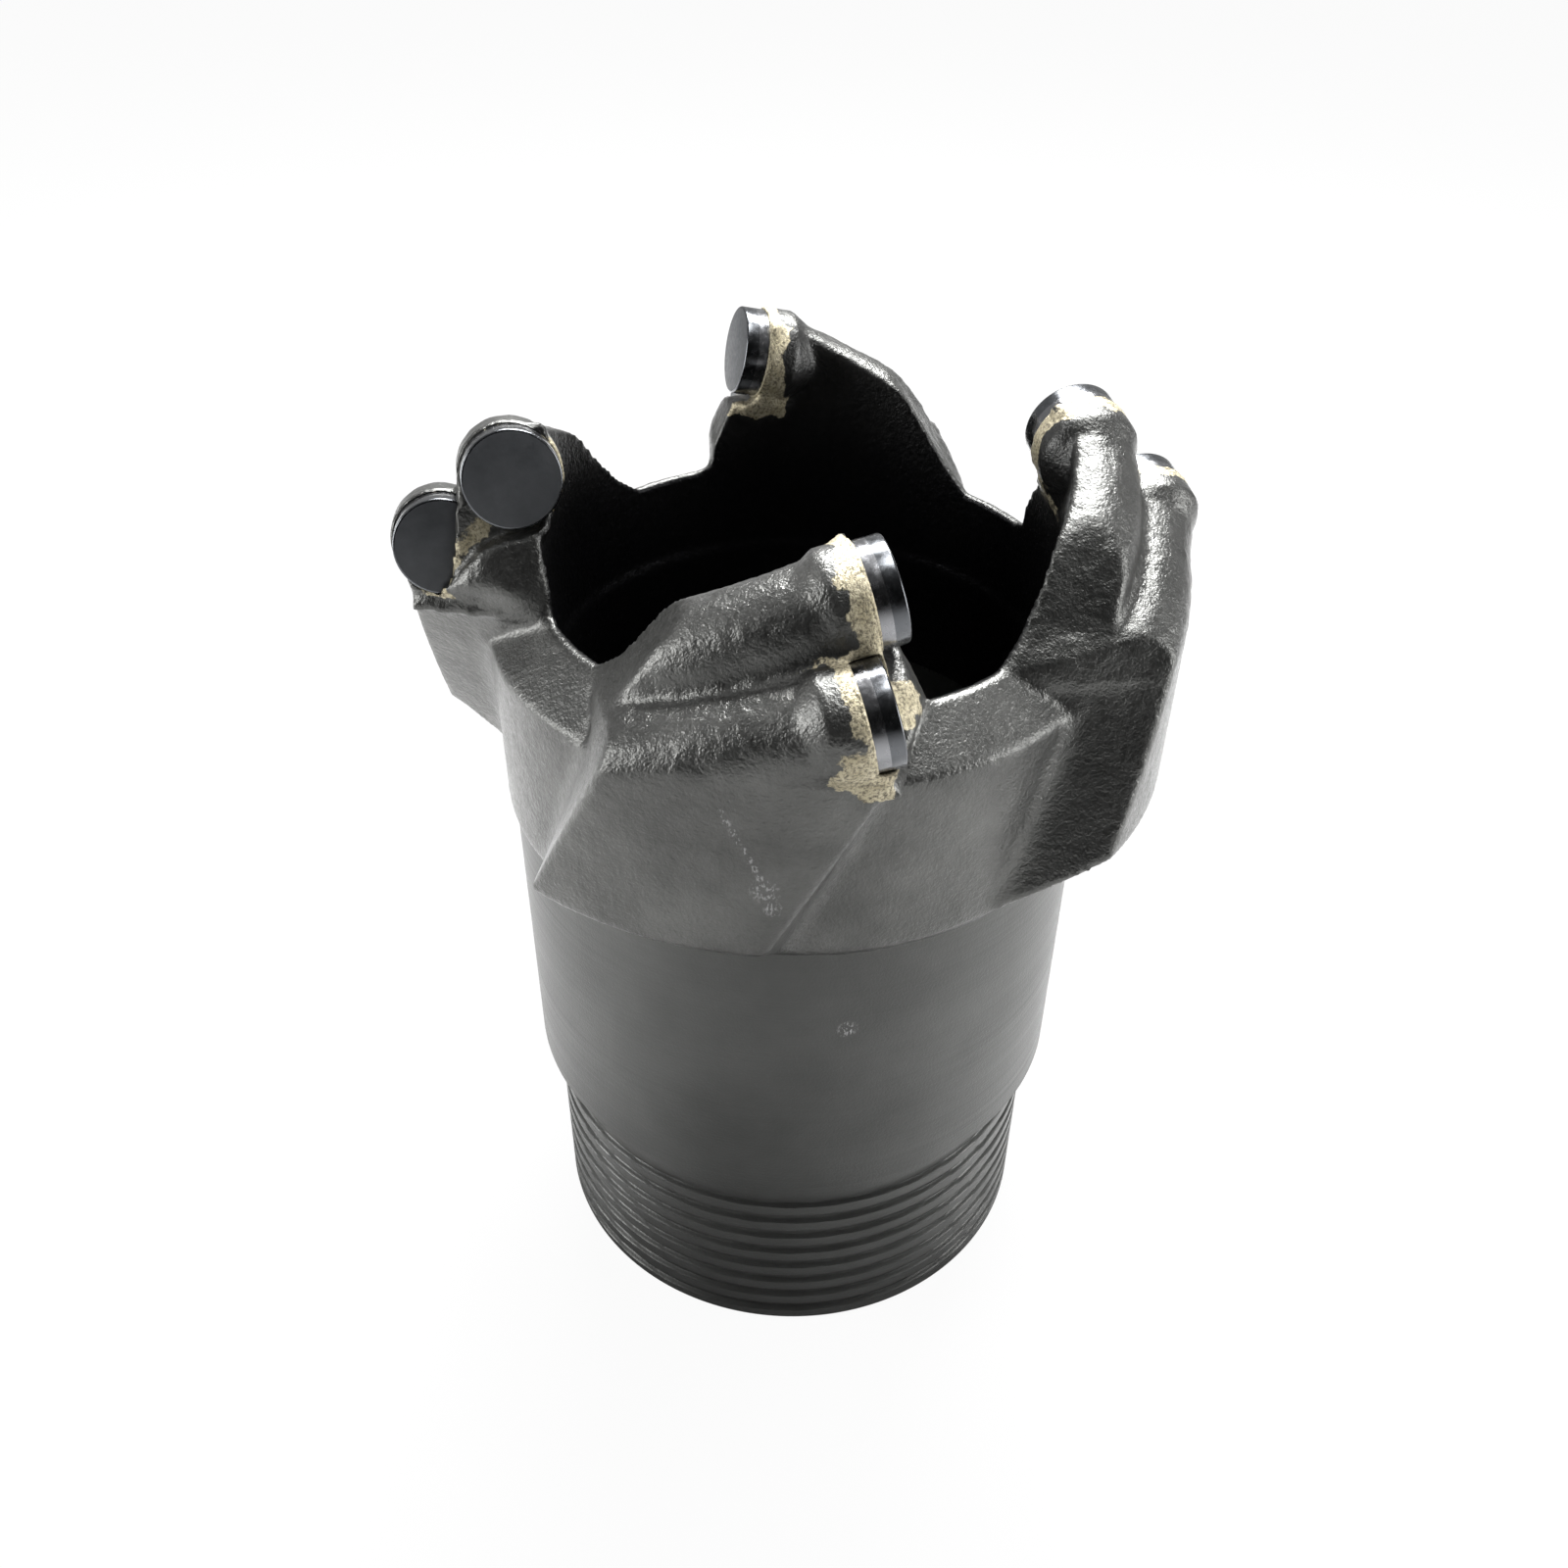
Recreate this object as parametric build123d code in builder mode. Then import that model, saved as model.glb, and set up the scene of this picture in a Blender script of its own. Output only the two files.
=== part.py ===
from build123d import *
import math
import os

os.makedirs("parts", exist_ok=True)

# Driving dimensions, millimetres. Origin on the axis, on the end face of the thread.
bore_r = 37.0
low_bore_r = 36.5
bore_step_z = 108.3
thread_r = 41.9
thread_len = 38.5
thread_pitch = 4.0
thread_first = 3.4
thread_turns = 7
groove_w = 1.7
groove_deep = 0.75
relief_z = 32.45
relief_w = 2.5
thread_lead = 0.6
tube_r = 44.5
tube_top = 88.6
floor_r = 45.4
floor_top = 116.8
rim_z = 123.0
rim_land = 1.0
wing_count = 4
gauge_r = 55.4
pad_bottom = 98.0
twist_rate = 0.57
twist_top = 124.5
flank_fillet = 6.0
keep_gap = 0.3
finger_r = 7.7
finger_round = 6.0
roll_r = 6.0
roll_z = 131.0
roll_clear = 0.25
finger_in_len = 29.0
finger_out_len = 36.0
cutter_d = 13.44
cutter_len = 8.0
table_t = 2.0
table_edge = 0.3
stick_out = 3.9
braze_film = 0.1
in_past_bore = 2.95
in_over_rim = 18.7
in_turn = 16.0
in_back = 12.2
in_side = 2.0
out_in_gauge = 5.25
out_over_rim = 8.5
out_turn = 12.5
out_back = 11.8
out_side = 0.3
ledge_turn = 20.0
ledge_over_rim = 11.6
ledge_fall = 0.46
ramp_foot_z = 122.5
ramp_top_z = 138.0
ramp_pad_z = 131.0

# Places that follow from them.
cutter_r = cutter_d / 2
in_r = bore_r + in_past_bore
in_z = rim_z + in_over_rim
out_r = gauge_r - out_in_gauge
out_z = rim_z + out_over_rim
rim_flat_r = bore_r + rim_land
bevel = (rim_z - floor_top) / (floor_r - rim_flat_r)


def spot(r, turn, z):
    """A point from its radius, its turn from the -Y side towards +X, and its height."""
    a = math.radians(turn)
    return Vector(r * math.sin(a), -r * math.cos(a), z)


def cutter_plane(r, turn, z, back, side):
    """Plane on a cutter's face: its z axis is the way that the face looks."""
    a, b, s = math.radians(turn), math.radians(back), math.radians(side)
    tangent = Vector(math.cos(a), math.sin(a), 0)
    radial = Vector(math.sin(a), -math.cos(a), 0)
    look = (tangent * math.cos(s) + radial * math.sin(s)) * math.cos(b)
    look = look + Vector(0, 0, math.sin(b))
    return Plane(origin=spot(r, turn, z), x_dir=radial, z_dir=look)


face_in = cutter_plane(in_r, in_turn, in_z, in_back, in_side)
face_out = cutter_plane(out_r, out_turn, out_z, out_back, out_side)
faces = {"inner": face_in, "outer": face_out}

# Turned shank with its thread pin, up to the foot of the wings.
with BuildPart() as shank:
    with BuildSketch(Plane.XZ):
        with BuildLine():
            Polyline(
                (bore_r - 3, 0),
                (thread_r - thread_lead, 0),
                (thread_r, thread_lead),
                (thread_r, thread_len),
                (tube_r, thread_len),
                (tube_r, tube_top),
                (bore_r - 3, tube_top),
                close=True,
            )
        make_face()
    revolve(axis=Axis.Z)
    with BuildSketch(Plane.XZ):
        for turn in range(thread_turns):
            with Locations((thread_r, thread_first + turn * thread_pitch)):
                Rectangle(2 * groove_deep, groove_w)
        with Locations((thread_r, relief_z)):
            Rectangle(2 * groove_deep, relief_w)
    revolve(axis=Axis.Z, mode=Mode.SUBTRACT)

# Envelope of the wings: cone below, gauge cylinder outside, open above.
with BuildPart() as envelope:
    with BuildSketch(Plane.XZ):
        with BuildLine():
            Polyline(
                (bore_r - 3, tube_top),
                (tube_r, tube_top),
                (gauge_r, pad_bottom),
                (gauge_r, rim_z + 40),
                (bore_r - 3, rim_z + 40),
                close=True,
            )
        make_face()
    revolve(axis=Axis.Z)

# Flank points of the front wing at the rim's height, then a little past the gauge.
trail_in = (-25.7, -26.6)
trail_out = (-23.2, -52.2)
lead_out = (9.4, -57.0)
lead_in = (15.9, -33.4)

# Outline of one wing across the axis.
with BuildSketch() as wing_flat:
    with BuildLine():
        Polyline(trail_in, trail_out, (-8.0, -60.0), lead_out, lead_in, close=True)
    make_face()

# Helical lower part: wings and core circle in one section, filleted where they meet.
with BuildSketch() as lobes:
    Circle(floor_r)
    with PolarLocations(0, wing_count):
        add(wing_flat.sketch)
    near = [v for v in lobes.vertices() if abs(Vector(v.X, v.Y, 0).length - floor_r) < 0.05]
    fillet(near, flank_fillet)
low_z = tube_top - 2
turn_low = -twist_rate * (rim_z - low_z)
lobe_section = lobes.sketch.faces()[0].rotate(Axis.Z, turn_low).moved(Location((0, 0, low_z)))
lobe_height = twist_top - low_z
lobe_solid = Solid.extrude_linear_with_rotation(
    lobe_section, (0, 0, low_z), (0, 0, lobe_height), twist_rate * lobe_height
)

# A slightly larger helix round the wings alone, which the rim's bevel leaves standing.
with BuildSketch() as wing_keep:
    add(wing_flat.sketch)
    offset(amount=keep_gap, kind=Kind.INTERSECTION)
keep_section = wing_keep.sketch.faces()[0].rotate(Axis.Z, turn_low).moved(Location((0, 0, low_z)))
keep_height = rim_z + 12 - low_z
keep_solid = Solid.extrude_linear_with_rotation(
    keep_section, (0, 0, low_z), (0, 0, keep_height), twist_rate * keep_height
)

# Bevelled rim between the wings: what is cut away over the junk slots.
with BuildPart() as rim_cut:
    with BuildSketch(Plane.XZ):
        with BuildLine():
            Polyline(
                (bore_r - 5, rim_z),
                (rim_flat_r, rim_z),
                (gauge_r + 6, rim_z - bevel * (gauge_r + 6 - rim_flat_r)),
                (gauge_r + 6, rim_z + 5),
                (bore_r - 5, rim_z + 5),
                close=True,
            )
        make_face()
    revolve(axis=Axis.Z)
    with PolarLocations(0, wing_count):
        add(keep_solid, mode=Mode.SUBTRACT)

# Crown of four helical wings on the foot cone.
with BuildPart() as crown:
    add(lobe_solid)
    add(envelope.part, mode=Mode.INTERSECT)
    add(rim_cut.part, mode=Mode.SUBTRACT)
print("crown", crown.part.volume, len(crown.part.solids()), "rim", rim_cut.part.volume)

# Upright block of the front wing, above the helix, under its two fingers.
slope_y = face_in.z_dir.cross(Vector(0, 0, 1)).normalized()
with BuildPart() as block:
    with BuildSketch(Plane.XY.offset(rim_z - 0.7)):
        with BuildLine():
            Polyline(
                (-27.0, -27.0),
                (-21.4, -52.6),
                (-8.0, -62.0),
                (11.9, -57.0),
                (16.6, -29.3),
                close=True,
            )
        make_face()
    extrude(amount=40)
    # level with the inner axis on the bore side
    level = slope_y.cross(face_in.z_dir)
    split(bisect_by=Plane(origin=face_in.origin, x_dir=face_in.z_dir, z_dir=level), keep=Keep.BOTTOM)
    # slant from the inner axis to the outer one
    across = face_out.origin - face_in.origin
    up = across.cross(face_in.z_dir + face_out.z_dir)
    up = up if up.Z > 0 else up * -1
    split(bisect_by=Plane(origin=face_in.origin, x_dir=across, z_dir=up), keep=Keep.BOTTOM)
    # ramp on the trailing side
    ramp_a = Vector(*trail_in, ramp_foot_z)
    ramp_b = Vector(-13.9, -34.3, ramp_top_z)
    ramp_c = Vector(-21.0, -50.0, ramp_pad_z)
    ramp = (ramp_b - ramp_a).cross(ramp_c - ramp_a)
    ramp = ramp if ramp.Z > 0 else ramp * -1
    split(bisect_by=Plane(origin=ramp_a, z_dir=ramp), keep=Keep.BOTTOM)

# Half-round fingers that carry the cutters, with rounded trailing ends.
fingers = []
for face, length in ((face_in, finger_in_len), (face_out, finger_out_len)):
    with BuildPart() as finger:
        with BuildSketch(face.offset(-stick_out)):
            Circle(finger_r)
        extrude(amount=-(length - stick_out))
        tail = finger.faces().sort_by(lambda f: (f.center() - face.origin).length)[-1]
        fillet(tail.edges(), finger_round)
    fingers.append(finger.part)

# The outer finger rolls over into the gauge pad: a ring outside a quarter round,
# tipped about the wing's own radial line so that it falls with the finger.
roll_in = gauge_r - roll_r + roll_clear
with BuildPart() as roll:
    with BuildSketch(Plane.XZ):
        with BuildLine():
            Line((roll_in + roll_r, roll_z), (gauge_r + 9, roll_z))
            Line((gauge_r + 9, roll_z), (gauge_r + 9, roll_z + roll_r + 9))
            Line((gauge_r + 9, roll_z + roll_r + 9), (roll_in, roll_z + roll_r + 9))
            Line((roll_in, roll_z + roll_r + 9), (roll_in, roll_z + roll_r))
            CenterArc((roll_in, roll_z), roll_r, 0, 90)
        make_face()
    revolve(axis=Axis.Z)
roll_tool = roll.part.rotate(Axis((0, 0, roll_z), (0, 1, 0)), -out_back)
with BuildPart() as outer_finger:
    add(fingers[1])
    add(roll_tool, mode=Mode.SUBTRACT)
fingers[1] = outer_finger.part
print("outer finger", outer_finger.part.volume, len(outer_finger.part.solids()))

# Clearance over the leading ledge: ahead of the inner finger's end and above the ledge plane.
ledge_up = Vector(0.02, -ledge_fall, 1).rotate(Axis.Z, 14)
ledge = Plane(origin=spot(bore_r, ledge_turn, rim_z + ledge_over_rim), x_dir=face_in.z_dir, z_dir=ledge_up)
with BuildPart() as ahead:
    with BuildSketch(face_in.offset(-stick_out)):
        Rectangle(60, 60)
    extrude(amount=40)
with BuildPart() as cutaway:
    with BuildSketch(ledge):
        Rectangle(90, 90)
    extrude(amount=40)
    add(ahead.part, mode=Mode.INTERSECT)

# One wing's top: block and fingers, cleared ahead of the two cutter faces.
with BuildPart() as top:
    add(block.part)
    add(fingers)
    add(envelope.part, mode=Mode.INTERSECT)
    add(cutaway.part, mode=Mode.SUBTRACT)
print("top", top.part.volume, len(top.part.faces()))

# Pocket of each cutter, cut into the finger: its floor is the finger's end face.
pockets = []
for face in faces.values():
    with BuildPart() as pocket:
        with BuildSketch(face):
            Circle(cutter_r + braze_film)
        extrude(amount=-(cutter_len + braze_film))
        with BuildSketch(face.offset(-0.01)):
            Circle(cutter_r + braze_film)
        extrude(amount=25)
    pockets.append(pocket.part)

# Bore: machined below, cast to a slightly larger round in the crown.
with BuildPart() as bore:
    with BuildSketch(Plane.XZ):
        with BuildLine():
            Polyline(
                (0, -1),
                (low_bore_r, -1),
                (low_bore_r, bore_step_z),
                (bore_r, bore_step_z + bore_r - low_bore_r),
                (bore_r, rim_z + 60),
                (0, rim_z + 60),
                close=True,
            )
        make_face()
    revolve(axis=Axis.Z)

# Room that the braze fills round each cutter: inside the finger's own round and the wing.
with BuildPart() as braze_zone:
    add(crown.part)
    add(top.part)
    add(bore.part, mode=Mode.SUBTRACT)

# The cast body in one piece.
with BuildPart() as bit_body:
    add(crown.part)
    with PolarLocations(0, wing_count):
        add(top.part)
    add(shank.part)
    add(bore.part, mode=Mode.SUBTRACT)
    with PolarLocations(0, wing_count):
        add(pockets, mode=Mode.SUBTRACT)
print("body", bit_body.part.volume, len(bit_body.part.faces()), len(bit_body.part.solids()))
bit_body.part.label = "bit_body"
export_step(bit_body.part, "parts/bit_body.step")

# Cutters: diamond table on its carbide, brazed into the pocket.
for row, face in faces.items():
    with BuildPart() as table:
        with BuildSketch(face.offset(-table_t)):
            Circle(cutter_r)
        extrude(amount=table_t)
        rim = table.edges().sort_by(lambda e: (e.center() - face.origin).length)[0]
        chamfer(rim, table_edge)
    with BuildPart() as carbide:
        with BuildSketch(face.offset(-cutter_len)):
            Circle(cutter_r)
        extrude(amount=cutter_len - table_t)
    with BuildPart() as braze:
        with BuildSketch(face.offset(-cutter_len - braze_film)):
            Circle(cutter_r + braze_film)
        extrude(amount=cutter_len + braze_film)
        with BuildSketch(face.offset(-cutter_len)):
            Circle(cutter_r)
        extrude(amount=cutter_len + 1, mode=Mode.SUBTRACT)
        add(braze_zone.part, mode=Mode.INTERSECT)
    for wing in range(wing_count):
        spin = Location((0, 0, 0), (0, 0, 360 / wing_count * wing))
        stem = f"wing_{wing + 1}_{row}"
        pieces = (("diamond", table.part), ("carbide", carbide.part), ("braze", braze.part))
        for name, piece in pieces:
            node = piece.moved(spin)
            node.label = f"{stem}_{name}"
            export_step(node, f"parts/{stem}_{name}.step")
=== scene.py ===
import bpy
import bmesh
import math
import numpy as np
from mathutils import Matrix, Vector


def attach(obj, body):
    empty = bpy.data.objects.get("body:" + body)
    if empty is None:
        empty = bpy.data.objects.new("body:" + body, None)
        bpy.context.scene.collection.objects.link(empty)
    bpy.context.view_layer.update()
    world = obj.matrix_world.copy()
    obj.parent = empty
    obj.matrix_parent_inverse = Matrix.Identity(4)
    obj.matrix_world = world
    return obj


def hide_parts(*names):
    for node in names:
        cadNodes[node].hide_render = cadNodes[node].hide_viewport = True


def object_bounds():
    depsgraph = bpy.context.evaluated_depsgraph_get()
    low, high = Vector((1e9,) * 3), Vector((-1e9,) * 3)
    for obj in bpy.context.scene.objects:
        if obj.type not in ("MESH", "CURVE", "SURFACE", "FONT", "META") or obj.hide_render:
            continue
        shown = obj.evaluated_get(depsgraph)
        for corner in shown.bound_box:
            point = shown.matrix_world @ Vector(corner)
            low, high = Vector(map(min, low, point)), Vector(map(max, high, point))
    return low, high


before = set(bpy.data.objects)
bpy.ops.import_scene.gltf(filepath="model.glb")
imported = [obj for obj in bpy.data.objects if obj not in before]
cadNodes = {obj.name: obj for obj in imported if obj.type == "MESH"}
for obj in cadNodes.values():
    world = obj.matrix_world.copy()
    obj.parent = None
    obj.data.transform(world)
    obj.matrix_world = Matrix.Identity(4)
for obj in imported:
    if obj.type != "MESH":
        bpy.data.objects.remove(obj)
cadLow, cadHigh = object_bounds()
print("frame loaded:", len(cadNodes), "nodes")

wingCount = 4
perMetre = 1000  # the wings and the cutters are worked out in millimetres


def ease(x, a, b):
    t = np.clip((x - a) / (b - a), 0, 1)
    return t * t * (3 - 2 * t)


def makeMesh(name, verts, faces, material, smooth=True):
    mesh = bpy.data.meshes.new(name)
    mesh.from_pydata(verts.tolist(), [], faces)
    mesh.validate()
    mesh.update()
    if smooth:
        mesh.polygons.foreach_set("use_smooth", np.ones(len(mesh.polygons), bool))
    piece = bpy.data.objects.new(name, mesh)
    bpy.context.scene.collection.objects.link(piece)
    mesh.materials.append(material)
    return piece


def ringFaces(rows, around):
    # quads of a grid that closes on itself both ways
    index = np.arange(rows * around).reshape(rows, around)
    below = np.roll(index, -1, 0)
    quads = np.stack([index, np.roll(index, -1, 1), np.roll(below, -1, 1), below], -1)
    return quads.reshape(-1, 4).tolist()


def faceOutwards(mesh, weld=0.0):
    bm = bmesh.new()
    bm.from_mesh(mesh)
    if weld:
        bmesh.ops.remove_doubles(bm, verts=bm.verts, dist=weld)
    bmesh.ops.recalc_face_normals(bm, faces=bm.faces)
    bm.to_mesh(mesh)
    bm.free()


def newMaterial(name):
    material = bpy.data.materials.new(name)
    material.use_nodes = True
    tree = material.node_tree
    tree.nodes.clear()
    out = tree.nodes.new("ShaderNodeOutputMaterial")
    shader = tree.nodes.new("ShaderNodeBsdfPrincipled")
    tree.links.new(shader.outputs[0], out.inputs[0])
    coord = tree.nodes.new("ShaderNodeTexCoord")
    return material, tree, shader, coord.outputs["Object"]


def noise(tree, vector, scale, detail=4.0, rough=0.55, stretch=None):
    node = tree.nodes.new("ShaderNodeTexNoise")
    node.inputs["Scale"].default_value = scale
    node.inputs["Detail"].default_value = detail
    node.inputs["Roughness"].default_value = rough
    if stretch:
        mapping = tree.nodes.new("ShaderNodeMapping")
        mapping.inputs["Scale"].default_value = stretch
        tree.links.new(vector, mapping.inputs["Vector"])
        vector = mapping.outputs[0]
    tree.links.new(vector, node.inputs["Vector"])
    return node.outputs["Fac"]


def remap(tree, value, a, b, c, d):
    node = tree.nodes.new("ShaderNodeMapRange")
    for key, number in (("From Min", a), ("From Max", b), ("To Min", c), ("To Max", d)):
        node.inputs[key].default_value = number
    tree.links.new(value, node.inputs["Value"])
    return node.outputs["Result"]


def mixColour(tree, factor, first, second):
    node = tree.nodes.new("ShaderNodeMix")
    node.data_type = "RGBA"
    tree.links.new(factor, node.inputs["Factor"])
    for socket, colour in ((node.inputs["A"], first), (node.inputs["B"], second)):
        if hasattr(colour, "node"):
            tree.links.new(colour, socket)
        else:
            socket.default_value = (*colour, 1.0)
    return node.outputs["Result"]


def bump(tree, height, strength, distance, before=None):
    node = tree.nodes.new("ShaderNodeBump")
    node.inputs["Strength"].default_value = strength
    node.inputs["Distance"].default_value = distance
    tree.links.new(height, node.inputs["Height"])
    if before is not None:
        tree.links.new(before, node.inputs["Normal"])
    return node.outputs["Normal"]


def combine(tree, operation, first, second):
    node = tree.nodes.new("ShaderNodeMath")
    node.operation = operation
    tree.links.new(first, node.inputs[0])
    if hasattr(second, "node"):
        tree.links.new(second, node.inputs[1])
    else:
        node.inputs[1].default_value = second
    return node.outputs[0]


def mixShaders(tree, factor, first, second):
    mixer = tree.nodes.new("ShaderNodeMixShader")
    tree.links.new(factor, mixer.inputs[0])
    tree.links.new(first.outputs[0], mixer.inputs[1])
    tree.links.new(second.outputs[0], mixer.inputs[2])
    out = [n for n in tree.nodes if n.type == "OUTPUT_MATERIAL"][0]
    tree.links.new(mixer.outputs[0], out.inputs[0])


def meshMark(tree, name):
    node = tree.nodes.new("ShaderNodeAttribute")
    node.attribute_name = name
    return node.outputs["Fac"]


def markMask(tree, place, spots):
    # nicks where a fine noise passes a threshold, within reach of any of the given places
    total = None
    for x, y, z, reach in spots:
        far = tree.nodes.new("ShaderNodeVectorMath")
        far.operation = "DISTANCE"
        tree.links.new(place, far.inputs[0])
        far.inputs[1].default_value = (x / perMetre, y / perMetre, z / perMetre)
        here = remap(tree, far.outputs["Value"], reach / (2 * perMetre), reach / perMetre, 1, 0)
        total = here if total is None else combine(tree, "MAXIMUM", total, here)
    nicks = remap(tree, noise(tree, place, 2600, 3, 0.7, (1.0, 1.0, 0.5)), 0.52, 0.60, 0, 1)
    return combine(tree, "MULTIPLY", total, nicks)


# handling marks as place and reach in millimetres; the scratch is a row of small ones down one pad
scratch = [(-8.8 + 5.2 * t, -54.7 - 0.6 * t, 120.4 - 10.7 * t, 0.7) for t in np.linspace(0, 1, 9)]
marks = {"pad": scratch + [(-3.6, -55.3, 109.0, 2.2), (-2.6, -55.3, 106.2, 1.4), (41.9, -36.2, 102.2, 1.6)],
         "tube": [(7.9, -43.8, 73.5, 1.7)], "hatch": [(28.6, -41.0, 116.9, 1.6), (28.0, -42.0, 114.9, 1.4)]}


brazeLook = {"dull": (0.36, 0.32, 0.21), "bright": (0.52, 0.47, 0.34), "grit": (0.12, 0.105, 0.075),
             "grain": 2600, "patch": 420, "metallic": 0.55, "roughness": (0.62, 0.42),
             "bump": 0.6, "depth": 0.00025}


def brazeNodes(tree, place, shader, s):
    # granular alloy: gold that varies in patches, with dark grit between the grains
    grain = noise(tree, place, s["grain"], 4, 0.65)
    patch = noise(tree, place, s["patch"], 3)
    gold = mixColour(tree, remap(tree, patch, 0.35, 0.65, 0, 1), s["dull"], s["bright"])
    shade = mixColour(tree, remap(tree, grain, 0.36, 0.56, 0, 1), s["grit"], gold)
    tree.links.new(shade, shader.inputs["Base Color"])
    shader.inputs["Metallic"].default_value = s["metallic"]
    tree.links.new(remap(tree, grain, 0.3, 0.7, *s["roughness"]), shader.inputs["Roughness"])
    tree.links.new(bump(tree, grain, s["bump"], s["depth"]), shader.inputs["Normal"])


def brazeAlloy(s):
    material, tree, shader, place = newMaterial("brazeAlloy")
    brazeNodes(tree, place, shader, s)
    return material


# of these colours, the near-black one for the bore is painted shade
castLook = {"dark": (0.075, 0.0755, 0.0725), "light": (0.115, 0.1155, 0.111), "nick": (0.24, 0.24, 0.24),
            "hatch": (0.015, 0.015, 0.016), "boreShade": (0.012, 0.012, 0.013), "metallic": 0.9,
            "roughness": (0.29, 0.44), "tone": 90, "fine": 1400, "bump": 0.5, "lumps": 1250,
            "lumpDepth": 0.00032, "pits": 2900, "pitDepth": 0.00016, "edge": 1100, "ragged": 0.3}


def castSteel(s):
    material, tree, shader, place = newMaterial("castSteel")
    tone = noise(tree, place, s["tone"], 5)
    fine = noise(tree, place, s["fine"], 3, 0.6)
    shade = mixColour(tree, remap(tree, tone, 0.35, 0.7, 0, 1), s["dark"], s["light"])
    shade = mixColour(tree, markMask(tree, place, marks["pad"]), shade, s["nick"])
    shade = mixColour(tree, markMask(tree, place, marks["hatch"]), shade, s["hatch"])
    # painted shade: near black mixed into the colour down the bore, where the mesh is marked
    shade = mixColour(tree, meshMark(tree, "painted_bore_shade"), shade, s["boreShade"])
    tree.links.new(shade, shader.inputs["Base Color"])
    shader.inputs["Metallic"].default_value = s["metallic"]
    tree.links.new(remap(tree, fine, 0.3, 0.7, *s["roughness"]), shader.inputs["Roughness"])
    lumps = noise(tree, place, s["lumps"], 3, 0.6)
    pits = noise(tree, place, s["pits"], 2, 0.5)
    first = bump(tree, lumps, s["bump"], s["lumpDepth"])
    tree.links.new(bump(tree, pits, s["bump"], s["pitDepth"], first), shader.inputs["Normal"])
    # alloy that ran over the casting, where the mesh is marked, with a ragged granular edge
    edge = noise(tree, place, s["edge"], 4, 0.7)
    ragged = remap(tree, edge, 0.3, 0.7, -s["ragged"], s["ragged"])
    mark = combine(tree, "ADD", meshMark(tree, "brazed"), ragged)
    alloy = tree.nodes.new("ShaderNodeBsdfPrincipled")
    brazeNodes(tree, place, alloy, brazeLook)
    mixShaders(tree, remap(tree, mark, 0.45, 0.6, 0, 1), shader, alloy)
    return material


turnedLook = {"dark": (0.066, 0.067, 0.0645), "light": (0.084, 0.085, 0.082), "nick": (0.3, 0.3, 0.3),
              "metallic": 0.85, "roughness": (0.38, 0.48), "tone": 60, "rings": 600,
              "ringStretch": (0.02, 0.02, 6.0), "ringBump": 0.12, "ringDepth": 0.00008,
              "grain": 2600, "grainBump": 0.4, "grainDepth": 0.00012}


def turnedSteel(s):
    material, tree, shader, place = newMaterial("turnedSteel")
    tone = noise(tree, place, s["tone"], 4)
    rings = noise(tree, place, s["rings"], 3, 0.6, s["ringStretch"])
    grain = noise(tree, place, s["grain"], 2)
    shade = mixColour(tree, remap(tree, tone, 0.35, 0.7, 0, 1), s["dark"], s["light"])
    shade = mixColour(tree, markMask(tree, place, marks["tube"]), shade, s["nick"])
    tree.links.new(shade, shader.inputs["Base Color"])
    shader.inputs["Metallic"].default_value = s["metallic"]
    tree.links.new(remap(tree, rings, 0.3, 0.7, *s["roughness"]), shader.inputs["Roughness"])
    first = bump(tree, rings, s["ringBump"], s["ringDepth"])
    tree.links.new(bump(tree, grain, s["grainBump"], s["grainDepth"], first), shader.inputs["Normal"])
    return material


diamondLook = {"dark": (0.040, 0.043, 0.047), "light": (0.058, 0.061, 0.066), "metallic": 0.35,
               "roughness": (0.42, 0.56), "tone": 300, "fine": 1500, "grain": 3000,
               "bump": 0.12, "depth": 0.00004}


def diamondFace(s):
    material, tree, shader, place = newMaterial("diamondFace")
    tone = noise(tree, place, s["tone"], 4)
    shade = mixColour(tree, remap(tree, tone, 0.3, 0.7, 0, 1), s["dark"], s["light"])
    tree.links.new(shade, shader.inputs["Base Color"])
    shader.inputs["Metallic"].default_value = s["metallic"]
    fine = noise(tree, place, s["fine"], 3)
    tree.links.new(remap(tree, fine, 0.3, 0.7, *s["roughness"]), shader.inputs["Roughness"])
    grain = noise(tree, place, s["grain"], 2)
    tree.links.new(bump(tree, grain, s["bump"], s["depth"]), shader.inputs["Normal"])
    return material


carbideLook = {"barrel": (0.2, 0.202, 0.21), "tableEdge": (0.09, 0.094, 0.1), "lighter": 1.25,
               "roughness": (0.16, 0.3), "grain": 1200, "bump": 0.06, "depth": 0.00004}


def carbideSteel(name, colour, s):
    material, tree, shader, place = newMaterial(name)
    grain = noise(tree, place, s["grain"], 3, 0.6)
    shade = mixColour(tree, grain, colour, tuple(s["lighter"] * c for c in colour))
    tree.links.new(shade, shader.inputs["Base Color"])
    shader.inputs["Metallic"].default_value = 1.0
    tree.links.new(remap(tree, grain, 0.3, 0.7, *s["roughness"]), shader.inputs["Roughness"])
    tree.links.new(bump(tree, grain, s["bump"], s["depth"]), shader.inputs["Normal"])
    return material


finishes = {"cast": castSteel(castLook), "turned": turnedSteel(turnedLook), "diamond": diamondFace(diamondLook),
            "carbide": carbideSteel("carbideSteel", carbideLook["barrel"], carbideLook),
            "tableEdge": carbideSteel("tableEdge", carbideLook["tableEdge"], carbideLook),
            "braze": brazeAlloy(brazeLook)}
print("materials made")


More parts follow.
